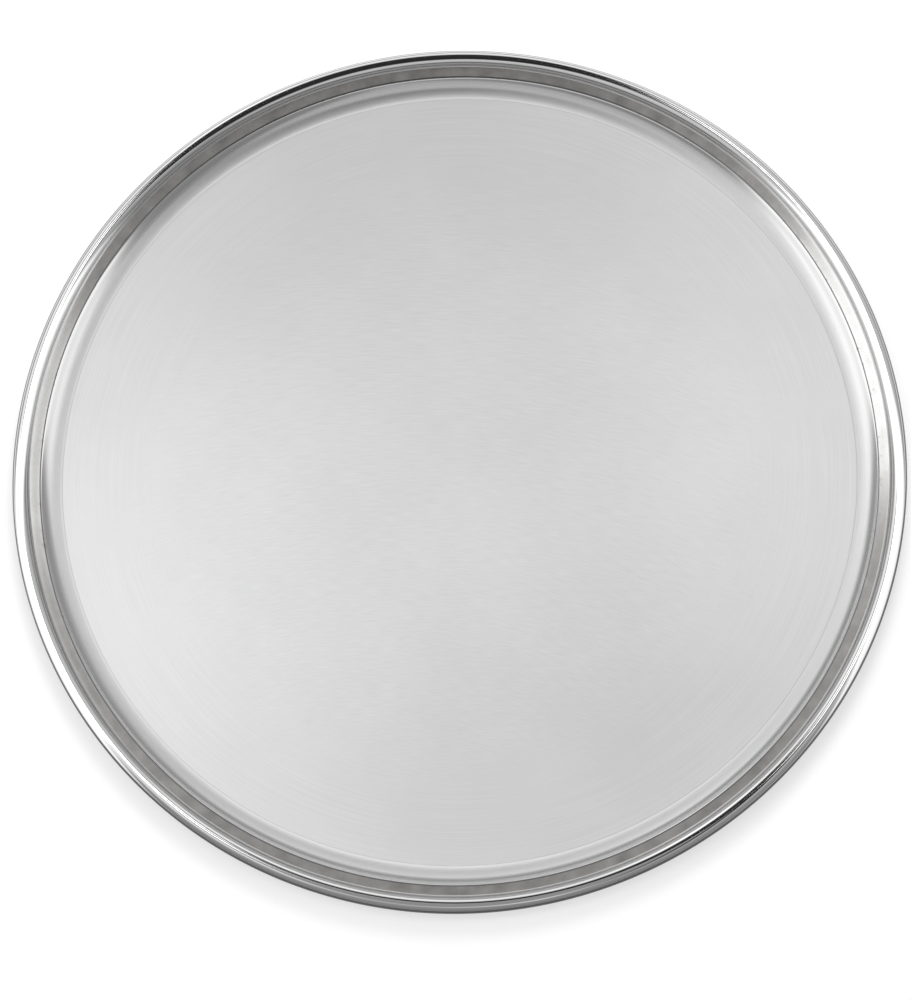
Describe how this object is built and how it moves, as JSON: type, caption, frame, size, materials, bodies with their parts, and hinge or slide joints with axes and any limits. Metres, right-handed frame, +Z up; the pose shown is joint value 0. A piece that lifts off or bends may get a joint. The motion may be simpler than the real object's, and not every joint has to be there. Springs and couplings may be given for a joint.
{
  "type": "pizza plate",
  "caption": "Round shallow metal plate for serving a pizza: flat brushed floor, polished double-coved wall and a rim rolled outwards round a stiffening wire.",
  "frame": {"origin": "centre of the plate's underside, on the surface that it stands on", "axes": "+Z up through the middle of the plate, from the underside to the food side; -Y is the side nearest the viewer in the picture, at the bottom of the picture, and +X is to the right"},
  "size_m": [0.32, 0.32, 0.0081],
  "materials": {
    "plate_steel": "satin brushed floor, mirror-polished wall and rim",
    "wire_steel": "drawn wire"
  },
  "bodies": {
    "root": {"plate_shell": "plate_steel", "rim_wire": "wire_steel"}
  },
  "joints": []
}
